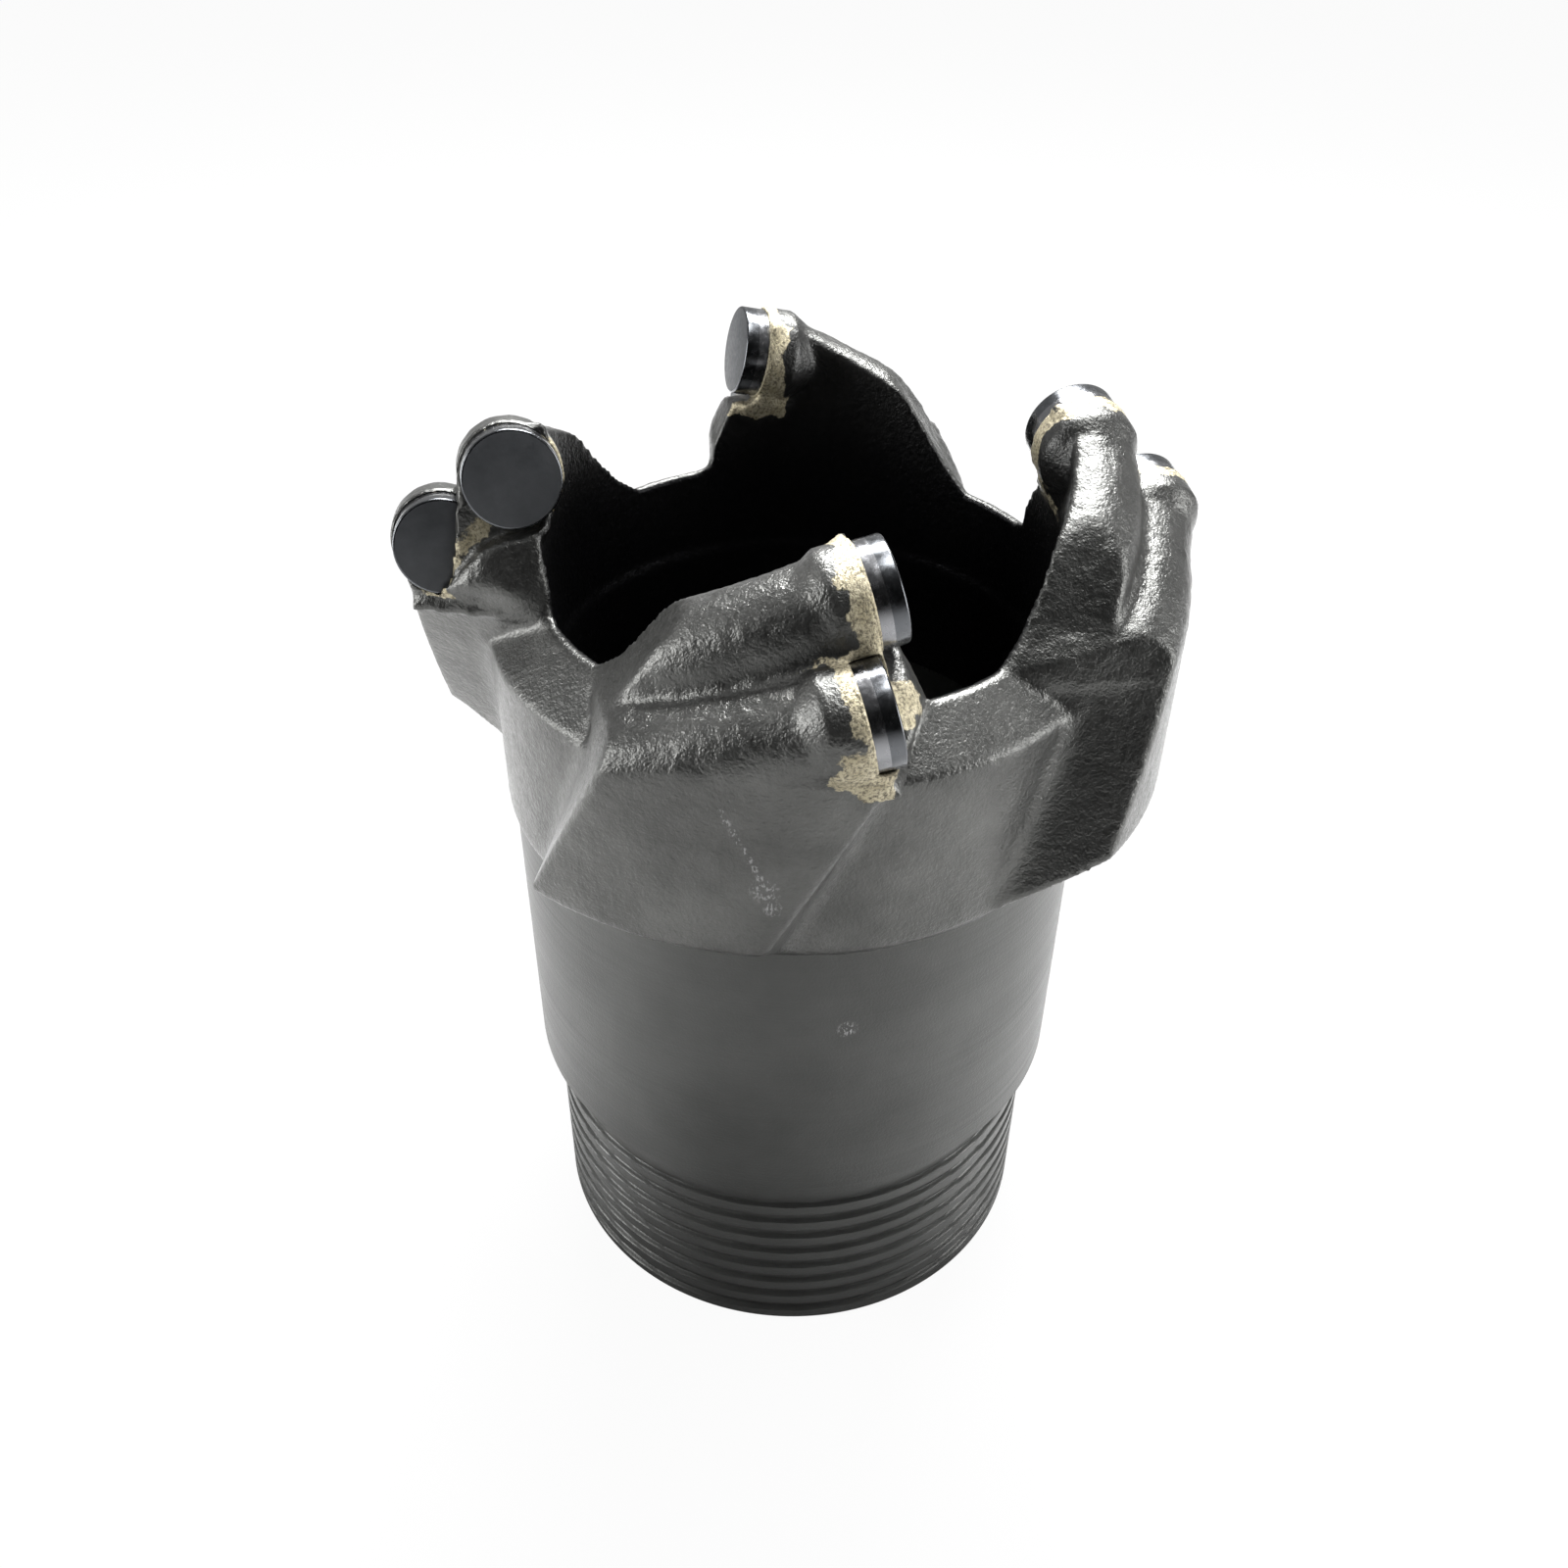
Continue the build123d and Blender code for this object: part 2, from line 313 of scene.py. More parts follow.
shankSizes = {"boreR": 0.0365, "pinR": 0.0419, "pinLen": 0.0385, "tubeR": 0.0445, "tubeTop": 0.0886,
              "pitch": 0.004, "firstGroove": 0.0034, "grooveW": 0.0017, "grooveDeep": 0.00075,
              "flank": 0.00025, "runOut": 0.0006, "reliefLow": 0.0312, "reliefHigh": 0.0337,
              "reliefFlank": 0.0002, "lead": 0.0006, "edge": 0.0003, "firstRow": 0.0003,
              "rowStep": 0.00012, "lastRow": 0.0001, "tubeFoot": 0.001, "tubeRows": 40,
              "boreRows": (0.06, 0.03), "boreEdge": 0.0005, "around": 240, "sharp": 35}


def shankSurface(s):
    # rows climb the outside and come down the bore; radius = profile radius less the thread's groove,
    # whose depth is a flat-bottomed wave of (height - pitch * turn), cut off at its ends
    last = s["pinLen"] - s["lastRow"]
    pinRows = [0.0] + list(np.arange(s["firstRow"], last, s["rowStep"])) + [last, s["pinLen"]]
    tubeRows = list(np.linspace(s["pinLen"] + s["tubeFoot"], s["tubeTop"] - s["edge"], s["tubeRows"]))
    z = np.array(pinRows + [s["pinLen"], s["pinLen"] + s["edge"]] + tubeRows + [s["tubeTop"]])
    pin = np.arange(len(z)) < len(pinRows)
    profile = np.where(pin, s["pinR"], s["tubeR"])
    profile = np.where(pin, profile - np.clip(s["lead"] - z, 0, None), profile)
    profile = np.where(~pin & (z <= s["pinLen"]), s["tubeR"] - s["edge"], profile)
    theta = np.linspace(0, 2 * np.pi, s["around"], endpoint=False)
    zz, tt = np.meshgrid(z, theta, indexing="ij")
    phase = (zz - s["firstGroove"]) / s["pitch"] - tt / (2 * np.pi) + 0.5
    off = np.abs((phase - np.floor(phase)) - 0.5) * s["pitch"]
    groove = ease(off, s["grooveW"] / 2 + s["flank"], s["grooveW"] / 2 - s["flank"])
    start, stop = s["firstGroove"] - 0.5 * s["pitch"], s["reliefLow"] + s["runOut"]
    groove = groove * (zz > start) * (zz < stop)
    relief = np.minimum(zz - s["reliefLow"], s["reliefHigh"] - zz) / s["reliefFlank"]
    groove = np.maximum(groove, np.clip(relief, 0, 1))
    radius = profile[:, None] - s["grooveDeep"] * np.where(pin[:, None], groove, 0)
    outside = np.stack([radius * np.sin(tt), -radius * np.cos(tt), zz], axis=-1)
    innerZ = np.array([s["tubeTop"], *s["boreRows"], s["boreEdge"], 0.0])
    innerR = (s["boreR"] + s["boreEdge"] * (innerZ == 0))[:, None]
    iz, it = np.meshgrid(innerZ, theta, indexing="ij")
    inside = np.stack([innerR * np.sin(it), -innerR * np.cos(it), iz], axis=-1)
    rows = np.concatenate([outside, inside])
    return rows.reshape(-1, 3), ringFaces(len(rows), s["around"])


shank = makeMesh("turned_shank", *shankSurface(shankSizes), finishes["turned"])
faceOutwards(shank.data)
shank.data.set_sharp_from_angle(angle=math.radians(shankSizes["sharp"]))
print("shank made:", len(shank.data.polygons))


cutterSizes = {"inner": {"r": 39.95, "turn": 16.0, "z": 141.7, "back": 12.2, "side": 2.0},
               "outer": {"r": 50.15, "turn": 12.5, "z": 131.5, "back": 11.8, "side": 0.3},
               "radius": 6.72, "length": 8.0, "table": 2.0, "stickOut": 3.9, "rearEdge": 0.9,
               "around": 96, "sharp": 40}
# each flank of a wing is a start, a slope and a bow, in degrees of turn from bore to gauge
wingSizes = {"boreR": 37.0, "gaugeR": 55.4, "base": 120.5, "twist": 0.57, "twistTop": 127.0,
             "trail": (-43.4, 20.4, 10.0), "lead": (27.5, -14.6, -5.6),
             "fall": 0.314, "sideDrop": 6, "fingers": {"inner": {"r": 39.6, "z": 137.55, "round": 7.5},
                                                       "outer": {"r": 48.0, "z": 127.95, "round": 7.45}},
             "rampFoot": 122.4, "rampRise": 5.6, "ledgeR": [37, 42, 45.5, 48, 50.5, 53, 55.4],
             "ledgeZ": [134.4, 133.2, 131.8, 129.0, 126.2, 125.6, 126.6], "ledgeFrom": 4, "ledgeBack": 2.0,
             "ledgeTo": 17.5, "ledgeIn": 4.9, "ledgeRoll": 1.35, "grooveSoft": 0.7, "rampSoft": 1.5,
             "ledgeSoft": 1.0, "outSwell": 1.35, "inSwell": 2.6, "skirtRows": 8,
             "acrossCount": 64, "alongCount": 170}


def cutterFrame(row, wing=0):
    # face centre, the way the face looks, and two directions across it, in millimetres
    c = cutterSizes[row]
    a, b, s = math.radians(c["turn"]), math.radians(c["back"]), math.radians(c["side"])
    tangent = np.array([math.cos(a), math.sin(a), 0])
    radial = np.array([math.sin(a), -math.cos(a), 0])
    look = (tangent * math.cos(s) + radial * math.sin(s)) * math.cos(b) + np.array([0, 0, math.sin(b)])
    place = np.array([c["r"] * math.sin(a), -c["r"] * math.cos(a), c["z"]])
    turn = math.radians(90 * wing)
    spin = np.array([[math.cos(turn), -math.sin(turn), 0], [math.sin(turn), math.cos(turn), 0], [0, 0, 1]])
    place, look = spin @ place, spin @ look
    outward = np.array([place[0], place[1], 0.0])
    outward -= look * (outward @ look)
    outward /= np.linalg.norm(outward)
    return place, look, outward, np.cross(look, outward)


def softMax(a, b, k):
    h = np.clip(0.5 + 0.5 * (a - b) / k, 0, 1)
    return b + (a - b) * h + k * h * (1 - h)


def flank(line, u):
    start, slope, bow = line
    return start + slope * u + bow * u * (1 - u)


def wingTop(s):
    # height over the ring, as a function of radius and turn: the larger of two half-round fingers that fall
    # along the turn, cut off at each cutter's seat, never above a ramp that climbs from the trailing flank,
    # never below a ledge under the cutters that rolls over to the leading flank
    u = np.linspace(0, 1, s["acrossCount"])[:, None]
    v = np.linspace(0, 1, s["alongCount"])[None, :]
    r = s["boreR"] + (s["gaugeR"] - s["boreR"]) * u + 0 * v
    trail = flank(s["trail"], u)
    turn = trail + (flank(s["lead"], u) - trail) * v
    a = np.radians(turn)
    tops = []
    for row, finger in s["fingers"].items():
        off = np.abs(r - finger["r"])
        top = finger["z"] + s["fall"] * turn + np.sqrt(np.clip(finger["round"] ** 2 - off ** 2, 0, None))
        top = top - s["sideDrop"] * np.clip(off - finger["round"], 0, None)
        place, look = cutterFrame(row)[:2]
        seat = place - look * cutterSizes["stickOut"]
        level = np.linalg.norm(look[:2])
        flat = look[:2] / level
        ahead = (r * np.sin(a) - seat[0]) * flat[0] + (-r * np.cos(a) - seat[1]) * flat[1]
        end = seat[2] - ahead / (look[2] / level)
        tops.append(np.minimum(top, np.clip(end, 100, 160)))
    top = softMax(tops[0], tops[1], s["grooveSoft"])
    climb = 0.80 + 0.4 * u + 3 * u ** 4  # millimetres a degree, steeper towards the gauge
    ramp = s["rampFoot"] + s["rampRise"] * u ** 1.2 + (turn - trail) * climb
    top = -softMax(-top, -ramp, s["rampSoft"])
    ledge = np.interp(r, s["ledgeR"], s["ledgeZ"])
    ledge = ledge - s["ledgeBack"] * np.clip(s["ledgeFrom"] - turn, 0, None)
    ledge = ledge - s["ledgeRoll"] * np.clip(turn - (s["ledgeTo"] - s["ledgeIn"] * u ** 3), 0, None)
    top = softMax(top, ledge, s["ledgeSoft"])
    return r, turn, np.maximum(top, s["base"] + 1.0)


def wingBlock(s, wing):
    # the top surface, with skirts down to a flat base, all turned with the wings' helix below its top
    r, turn, top = wingTop(s)
    rows, cols = r.shape
    index = np.arange(rows * cols).reshape(rows, cols)
    loop = np.concatenate([index[0], index[1:, -1], index[-1, -2::-1], index[-2:0:-1, 0]])
    rimR, rimT, rimZ = r.ravel()[loop], turn.ravel()[loop], top.ravel()[loop]
    share = np.linspace(1, 0, s["skirtRows"] + 1)[1:, None]
    rr = np.concatenate([r.ravel(), np.tile(rimR, s["skirtRows"])])
    tt = np.concatenate([turn.ravel(), np.tile(rimT, s["skirtRows"])])
    zz = np.concatenate([top.ravel(), (s["base"] + (rimZ - s["base"]) * share).ravel()])
    # the seats bulge past the gauge and into the bore round the cutters
    front = s["outSwell"] * ease(tt, -5, 5)
    rr = rr + front * ease(rr, 49, 55.4) * ease(zz, 124, 128) * (1 - ease(tt, 9.0, 12.5))
    inward = s["inSwell"] * ease(tt, 1, 9) * (1 - ease(rr, 37, 42))
    rr = rr - inward * ease(zz, 130, 136) * (1 - ease(tt, 14.5, 17.5))
    tt = tt + s["twist"] * np.minimum(zz - s["twistTop"], 0)
    a = np.radians(tt + 90 * wing)
    points = np.stack([rr * np.sin(a), -rr * np.cos(a), zz], 1)
    faces = np.stack([index[:-1, :-1], index[1:, :-1], index[1:, 1:], index[:-1, 1:]], -1)
    faces = faces.reshape(-1, 4).tolist()
    for k in range(s["skirtRows"]):
        below = rows * cols + k * len(loop) + np.arange(len(loop))
        faces += np.stack([loop, np.roll(loop, -1), np.roll(below, -1), below], 1).tolist()
        loop = below
    faces.append(loop.tolist())
    return points / perMetre, faces


def lowerCrown(node, s):
    # the solid between the shoulder and a level under the fingers, closed at both cuts
    bm = bmesh.new()
    bm.from_mesh(node.data)
    bmesh.ops.remove_doubles(bm, verts=bm.verts, dist=1e-6)
    for height, keepAbove in ((s["cut"], True), (s["level"], False)):
        cut = bmesh.ops.bisect_plane(bm, geom=bm.verts[:] + bm.edges[:] + bm.faces[:],
                                     plane_co=(0, 0, height), plane_no=(0, 0, 1),
                                     clear_inner=keepAbove, clear_outer=not keepAbove)
        edges = [g for g in cut["geom_cut"] if isinstance(g, bmesh.types.BMEdge)]
        bmesh.ops.triangle_fill(bm, edges=edges, use_beauty=True)
    bmesh.ops.recalc_face_normals(bm, faces=bm.faces)
    mesh = bpy.data.meshes.new("cast_crown")
    bm.to_mesh(mesh)
    bm.free()
    return mesh


def crownMesh(node, s):
    # the lower crown and the four shaped wing tops, made one skin by a voxel remesh
    shapes = [lowerCrown(node, s)]
    for wing in range(wingCount):
        points, faces = wingBlock(wingSizes, wing)
        block = bpy.data.meshes.new("block")
        block.from_pydata(points.tolist(), [], faces)
        faceOutwards(block)
        shapes.append(block)
    bm = bmesh.new()
    for shape in shapes:
        bm.from_mesh(shape)
    whole = bpy.data.meshes.new("cast_crown")
    bm.to_mesh(whole)
    bm.free()
    crown = bpy.data.objects.new("cast_crown", whole)
    bpy.context.scene.collection.objects.link(crown)
    remesh = crown.modifiers.new("remesh", "REMESH")
    remesh.mode = "VOXEL"
    remesh.voxel_size = s["voxel"]
    soft = crown.modifiers.new("soft", "SMOOTH")
    soft.factor = s["softly"]
    soft.iterations = s["smooth"]
    final = bpy.data.meshes.new_from_object(crown.evaluated_get(bpy.context.evaluated_depsgraph_get()))
    crown.modifiers.clear()
    crown.data = final
    return crown


def waves(points, size, seed, count=14):
    # smooth random field: a sum of plane waves in random directions, about the given length
    rng = np.random.default_rng(seed)
    way = rng.normal(size=(count, 3))
    way /= np.linalg.norm(way, axis=1)[:, None]
    way *= 2 * np.pi / (size * rng.uniform(0.7, 1.4, count))[:, None]
    return np.sin(points @ way.T + rng.uniform(0, 6.28, count)).sum(1) / math.sqrt(count / 2)


def trueBore(p, s):
    # the bore is round again after the remesh, and so is the foot that meets the turned tube
    radius = np.hypot(p[:, 0], p[:, 1])
    wall = (radius > 36.0) & (radius < 37.5) & (p[:, 2] > 109.2) & (p[:, 2] < 130)
    p[wall, :2] *= (s["upperBore"] / radius[wall])[:, None]
    wall = (radius < 37.2) & (p[:, 2] < 108.0)
    p[wall, :2] *= (s["lowerBore"] / radius[wall])[:, None]


def roughen(p, normals, s):
    # cast skin: two sizes of lump, fuller on the wing tops, none in the bore or at the foot
    rough = waves(p, 1.7, 3, 40) * s["fineLump"] + waves(p, 3.4, 5, 40) * s["wideLump"]
    cast = ease(p[:, 2], 89.5, 92) * ease(np.hypot(p[:, 0], p[:, 1]), 37.6, 38.6)
    upper = 0.35 + 0.65 * ease(p[:, 2], 118, 128)
    p += normals * (rough * cast * upper)[:, None]


def seatCutter(p, normals, row, wing, s, runs):
    # along: distance behind the face; out: distance from the cutter's axis; side and up: its two parts
    place, look, outward, third = cutterFrame(row, wing)
    rel = p - place
    along = -(rel @ look)
    side, up = rel @ outward, rel @ third
    out = np.hypot(side, up)
    # the wall stands clear of the barrel, and laps over it as a collar that dies away behind
    radius, seat = cutterSizes["radius"], cutterSizes["stickOut"]
    lap = s["lap"] * ease(along, seat - 0.2, seat + 0.3)
    wanted = radius + s["clear"] + lap - s["taper"][row] * np.clip(along - s["taperFrom"], 0, None)
    move = (along > -0.4) & (along < 16) & (out < wanted)
    push = (wanted - out) / np.maximum(out, 1e-3)
    p[move] += (outward * side[move, None] + third * up[move, None]) * push[move, None]
    out = np.maximum(out, np.where(move, wanted, out))
    # braze round the seat: wide over the finger, a thin ring on its end face
    ragged = waves(p, 4.0, 11 + wing * 2 + (row == "outer"))
    facing = ease(normals @ look, 0.45, 0.8)
    width = np.maximum(1.9 + 0.3 * ragged - 1.2 * facing, 0.55)
    reach = runs["over"][wing] * s["reach"][row] + 0.5 * ragged
    seam = 1 - ease(out - radius, 0.3, width)
    seam = seam * ease(along, -1.5, -0.5) * (1 - ease(along, reach, reach + 1.0))
    seam *= 1 - ease(normals[:, 2], 0.5, 0.8) * (p[:, 2] < place[2] - 1)
    if runs["lower"][wing]:
        seam *= ease(up - side, -1, 3)
    return seam


def brazePatch(p, wing, runs):
    # granular alloy between the two cutters, on the leading strip, under the outer cutter and in the bore
    turned = np.degrees(np.arctan2(p[:, 0], -p[:, 1])) - 90 * wing
    turned = (turned + 180) % 360 - 180
    r, z = np.hypot(p[:, 0], p[:, 1]), p[:, 2]
    ragged = waves(p, 3.0, 31 + wing)
    groove = 1 - ease(np.abs(r - 47.1), 0.5, 1.2 + 0.2 * ragged)
    groove = groove * ease(turned, -7 + 2 * ragged, -4 + 2 * ragged)
    groove *= ease(z, 131, 133) * (1 - ease(z - 135.0 - 0.33 * turned, 0.2, 1.4))
    front = ease(turned, 12.5, 14.0) * ease(z, 127 + ragged, 129.5 + ragged)
    front *= ease(r, 44, 46) * (1 - ease(r, 50.0, 51.0))
    under = (1 - ease(np.abs(r - 55.5) / 3, 0.6, 1.0)) * ease(turned, 4 + ragged, 5.5 + ragged)
    under *= ease(z, 122.4 + 0.4 * ragged, 123.4 + 0.4 * ragged) * (1 - ease(z, 130, 132))
    under *= 1 - ease(turned, 11.6, 12.2)
    inward = (1 - ease(r, 37.2, 38.2)) * ease(turned, 4 + ragged, 6 + ragged)
    inward = inward * ease(z, 131 + ragged, 133 + ragged)
    patches = {"groove": groove, "front": front, "under": under, "inward": inward}
    patch = np.max([mask * runs[name][wing] for name, mask in patches.items()], axis=0)
    return patch * (np.abs(turned) < 32)


def finishCrown(crown, s, runs):
    mesh = crown.data
    co = np.zeros(len(mesh.vertices) * 3)
    mesh.vertices.foreach_get("co", co)
    p = co.reshape(-1, 3) * perMetre
    trueBore(p, s)
    normals = np.zeros(len(mesh.vertices) * 3)
    mesh.vertex_normals.foreach_get("vector", normals)
    normals = normals.reshape(-1, 3)
    roughen(p, normals, s)
    brazed = np.zeros(len(p))
    for wing in range(wingCount):
        for row in ("inner", "outer"):
            brazed = np.maximum(brazed, seatCutter(p, normals, row, wing, s, runs))
    for wing in range(wingCount):
        brazed = np.maximum(brazed, brazePatch(p, wing, runs))
    # nothing stands out past the solids' own box
    reach = cadHigh[0] * perMetre - s["inBox"]
    p[:, :2] = np.clip(p[:, :2], -reach, reach)
    mesh.vertices.foreach_set("co", (p / perMetre).ravel())
    mesh.update()
    # painted shade: the cast bore's colour is darkened to near black, less so towards the wing tops
    dark = 1 - ease(np.hypot(p[:, 0], p[:, 1]), 37.15, 37.6)
    dark = dark * (1 - ease(p[:, 2], 120, 146) * 0.5)
    for name, values in (("brazed", brazed), ("painted_bore_shade", dark)):
        mesh.attributes.new(name, "FLOAT", "POINT").data.foreach_set("value", values)
    mesh.materials.clear()
    mesh.materials.append(finishes["cast"])
    mesh.polygons.foreach_set("use_smooth", np.ones(len(mesh.polygons), bool))


# how much braze shows on each of the four wings; over is its reach behind the faces, in millimetres
brazeRuns = {"over": (6.2, 5.8, 5.6, 4.6), "groove": (1, 0, 0, 0), "front": (1, 0, 0, 0),
             "under": (1, 0.6, 1, 0), "inward": (0, 0.5, 1, 0), "lower": (0, 0, 0, 1)}
crownSizes = {"cut": 0.0878, "level": 0.1234, "voxel": 0.00072, "smooth": 2, "softly": 0.5,
              "upperBore": 37.0, "lowerBore": 36.5, "fineLump": 0.028, "wideLump": 0.035, "clear": 0.12,
              "lap": 0.3, "taper": {"inner": 0.62, "outer": 0.8}, "taperFrom": 8.2,
              "reach": {"inner": 1.0, "outer": 0.86}, "inBox": 0.02}
crown = crownMesh(cadNodes["bit_body"], crownSizes)
finishCrown(crown, crownSizes, brazeRuns)
print("crown made:", len(crown.data.polygons))
for piece, slotName in ((shank, "body_steel"), (crown, "body_steel")):
    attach(piece, "root")
    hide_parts("bit_body")


def turnedPiece(name, profile, frameOf, around, materials, ripple=0.0, seed=1, sunk=0.0):
    # a closed profile of (distance behind the face, radius), carried round the cutter's axis; ripple
    # swells it unevenly, and sunk draws it in except on the lower side towards the bore
    place, look, outward, third = frameOf
    profile = np.array(profile)
    theta = np.linspace(0, 2 * np.pi, around, endpoint=False)
    radius = np.repeat(profile[:, 1:2], around, 1)
    if sunk:
        radius = radius - sunk * (1 - ease(np.sin(theta) - np.cos(theta), -0.3, 0.5))[None, :]
    along = np.repeat(profile[:, 0:1], around, 1)
    way = np.cos(theta)[None, :, None] * outward + np.sin(theta)[None, :, None] * third
    points = place - look * along[..., None] + way * radius[..., None]
    if ripple:
        swell = waves(points.reshape(-1, 3), 1.3, seed).reshape(radius.shape) * ripple
        points += way * (swell * np.sign(profile[:, 1:2] - profile[:, 1].mean()))[..., None]
    faces = ringFaces(len(profile), around)
    piece = makeMesh(name, points.reshape(-1, 3) / perMetre, faces, materials[0])
    faceOutwards(piece.data, 1e-7)
    for material in materials[1:]:
        piece.data.materials.append(material)
    return piece


def tableDisc(stem, where, s):
    # the matt face has one material, the worn edge and the side another
    size, table = s["radius"], s["table"]
    profile = [(0, 0), (0, size - 0.3), (0.06, size - 0.12), (0.2, size - 0.02), (0.3, size),
               (table, size), (table, 0)]
    skins = [finishes["diamond"], finishes["tableEdge"]]
    disc = turnedPiece(stem + "_table", profile, where, s["around"], skins)
    centres = np.array([poly.center for poly in disc.data.polygons]) * perMetre
    behind = -((centres - where[0]) @ where[1])
    disc.data.polygons.foreach_set("material_index", (behind > 0.02).astype(np.int32))
    disc.data.set_sharp_from_angle(angle=math.radians(s["sharp"]))
    return disc


def carbideBarrel(stem, where, s):
    size, table, length, edge = s["radius"], s["table"], s["length"], s["rearEdge"]
    profile = [(table, 0), (table, size), (length - 2 * edge, size), (length, size - edge), (length, 0)]
    barrel = turnedPiece(stem + "_barrel", profile, where, s["around"], [finishes["carbide"]])
    barrel.data.set_sharp_from_angle(angle=math.radians(s["sharp"]))
    return barrel


beadSizes = {"ahead": 0.15, "back": 0.3, "out": 0.1, "halfLength": 0.42, "halfHeight": 0.26,
             "corners": 10, "around": 140, "ripple": 0.07, "seed": 41, "sunk": 0.42}


def brazeBead(stem, where, wing, s):
    angles = np.linspace(0, 2 * np.pi, s["corners"], endpoint=False)
    along = cutterSizes["stickOut"] - s["ahead"] + s["back"] + s["halfLength"] * np.cos(angles)
    radius = cutterSizes["radius"] + s["out"] + s["halfHeight"] * np.sin(angles)
    sunk = s["sunk"] if brazeRuns["lower"][wing] else 0.0
    return turnedPiece(stem + "_bead", np.stack([along, radius], 1), where, s["around"],
                       [finishes["braze"]], s["ripple"], s["seed"] + wing, sunk)


for wing in range(wingCount):
    for row in ("inner", "outer"):
        stem = f"wing_{wing + 1}_{row}"
        where = cutterFrame(row, wing)
        disc = tableDisc(stem, where, cutterSizes)
        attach(disc, "root")
        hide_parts(stem + "_diamond")
        barrel = carbideBarrel(stem, where, cutterSizes)
        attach(barrel, "root")
        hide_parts(stem + "_carbide")
        bead = brazeBead(stem, where, wing, beadSizes)
        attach(bead, "root")
        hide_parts(stem + "_braze")
print("cutters and braze made")


stageSizes = {"half": 3.0, "grey": 0.5, "roughness": 0.8, "white": 0.95,
              "roomBack": -0.75, "roomFront": 0.45, "dark": 0.016, "light": 0.5}


def makeStage(s):
    # to the camera alone the floor is mostly white, with enough left to hold a shadow
    material, tree, shader, _ = newMaterial("paleFloor")
    shader.inputs["Base Color"].default_value = (s["grey"], s["grey"], s["grey"], 1)
    shader.inputs["Roughness"].default_value = s["roughness"]
    path = tree.nodes.new("ShaderNodeLightPath")
    glow = tree.nodes.new("ShaderNodeEmission")
    glow.inputs["Color"].default_value = (1, 1, 1, 1)
    share = combine(tree, "MULTIPLY", path.outputs["Is Camera Ray"], s["white"])
    mixShaders(tree, share, shader, glow)
    corners = np.array([(-1, -1, 0), (1, -1, 0), (1, 1, 0), (-1, 1, 0)]) * s["half"]
    makeMesh("floor", corners, [(0, 1, 2, 3)], material, smooth=False)


def makeWorld(s):
    world = bpy.data.worlds.new("studio")
    bpy.context.scene.world = world
    world.use_nodes = True
    tree = world.node_tree
    tree.nodes.clear()
    out = tree.nodes.new("ShaderNodeOutputWorld")
    back = tree.nodes.new("ShaderNodeBackground")
    back.inputs["Color"].default_value = (1, 1, 1, 1)
    coord = tree.nodes.new("ShaderNodeTexCoord")
    split = tree.nodes.new("ShaderNodeSeparateXYZ")
    tree.links.new(coord.outputs["Generated"], split.inputs[0])
    # light behind the object, dark in the open room behind the camera, white to the camera itself
    shade = remap(tree, split.outputs["Y"], s["roomBack"], s["roomFront"], s["dark"], s["light"])
    path = tree.nodes.new("ShaderNodeLightPath")
    mixer = tree.nodes.new("ShaderNodeMix")
    mixer.data_type = "FLOAT"
    tree.links.new(path.outputs["Is Camera Ray"], mixer.inputs["Factor"])
    tree.links.new(shade, mixer.inputs["A"])
    mixer.inputs["B"].default_value = 1.0
    tree.links.new(mixer.outputs["Result"], back.inputs["Strength"])
    tree.links.new(back.outputs[0], out.inputs[0])


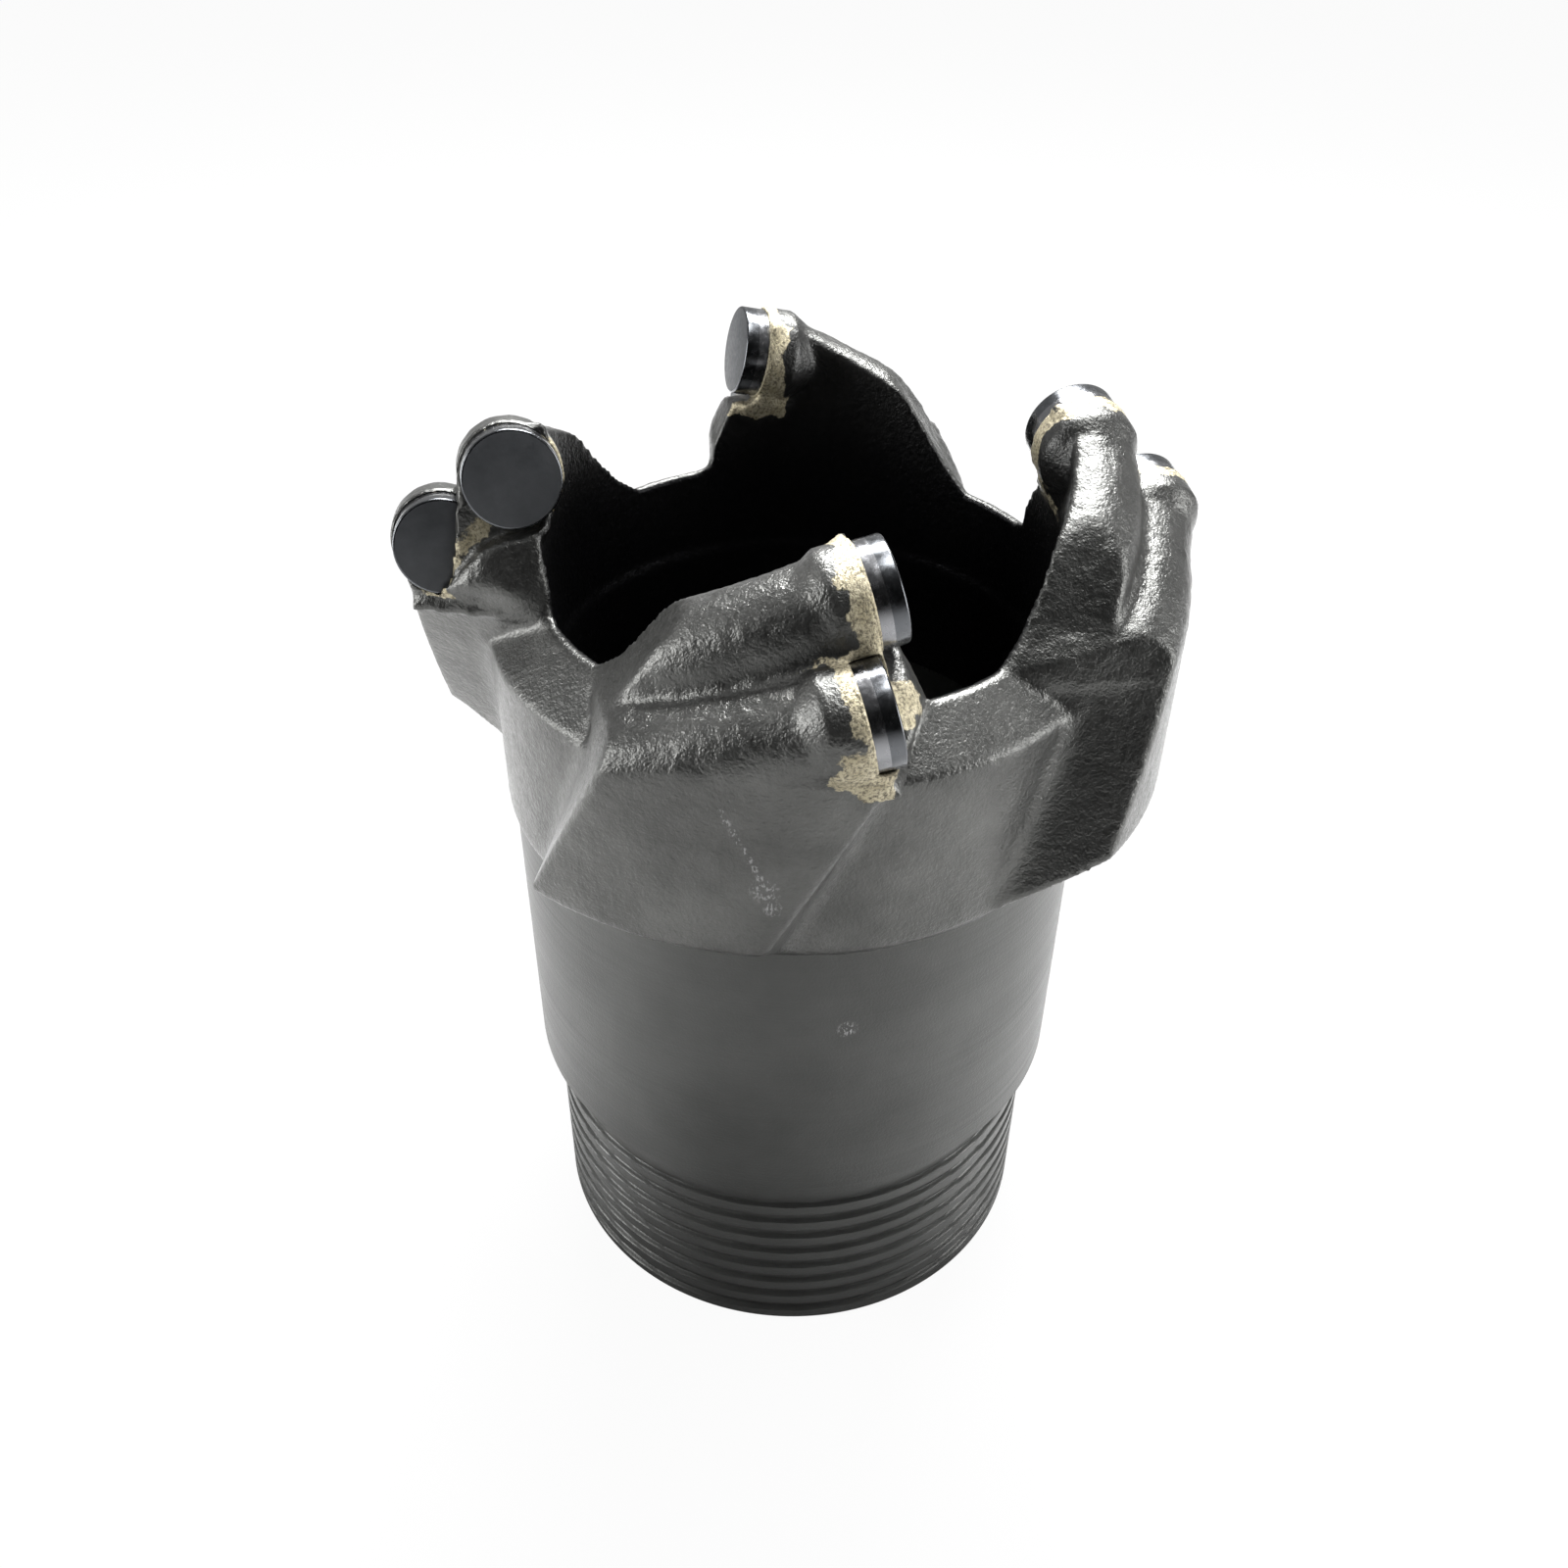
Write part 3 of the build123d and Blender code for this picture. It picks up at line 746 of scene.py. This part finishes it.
lamps = {"softBack": {"place": (0.05, 0.40, 0.72), "aim": (0, 0, 0.12), "size": (0.55, 0.2), "power": 23.0},
         "softTop": {"place": (0.12, 0.0, 0.78), "aim": (0, 0, 0.1), "size": (0.24, 0.16), "power": 3.0},
         "softLeft": {"place": (-0.75, -0.12, 0.18), "aim": (0, 0, 0.05), "size": (0.3, 0.6), "power": 6.5},
         "softRight": {"place": (0.75, -0.12, 0.18), "aim": (0, 0, 0.05), "size": (0.3, 0.6), "power": 5.5}}


def areaLight(name, s):
    data = bpy.data.lights.new(name, "AREA")
    data.shape = "RECTANGLE"
    data.size, data.size_y = s["size"]
    data.energy = s["power"]
    lamp = bpy.data.objects.new(name, data)
    lamp.location = s["place"]
    aim = Vector(s["aim"]) - Vector(s["place"])
    lamp.rotation_mode = "QUATERNION"
    lamp.rotation_quaternion = aim.to_track_quat("-Z", "Y")
    bpy.context.scene.collection.objects.link(lamp)


# place in metres, angles in degrees; the shift is a share of the picture's width
cameraSizes = {"place": (0.0, -0.1894, 0.2255), "pitch": 36.45, "yaw": -0.46, "roll": 0.77,
               "sensor": 36, "lens": 33.534, "shift": (-0.0020625, -0.004875), "near": 0.005, "far": 20}


def makeCamera(s):
    data = bpy.data.cameras.new("camera")
    camera = bpy.data.objects.new("camera", data)
    bpy.context.scene.collection.objects.link(camera)
    pitch, yaw, roll = (math.radians(s[key]) for key in ("pitch", "yaw", "roll"))
    ahead = Vector((math.sin(yaw) * math.cos(pitch), math.cos(yaw) * math.cos(pitch), -math.sin(pitch)))
    right = Vector((math.cos(yaw), -math.sin(yaw), 0))
    up = right.cross(ahead)
    side = right * math.cos(roll) + up * math.sin(roll)
    top = up * math.cos(roll) - right * math.sin(roll)
    camera.matrix_world = Matrix((
        (side.x, top.x, -ahead.x, s["place"][0]),
        (side.y, top.y, -ahead.y, s["place"][1]),
        (side.z, top.z, -ahead.z, s["place"][2]),
        (0, 0, 0, 1)))
    data.sensor_width = s["sensor"]
    data.lens = s["lens"]
    data.shift_x, data.shift_y = s["shift"]
    data.clip_start, data.clip_end = s["near"], s["far"]
    bpy.context.scene.camera = camera


makeStage(stageSizes)
makeWorld(stageSizes)
for name, lamp in lamps.items():
    areaLight(name, lamp)
makeCamera(cameraSizes)
bpy.context.scene.view_settings.view_transform = "Standard"
print("stage made")
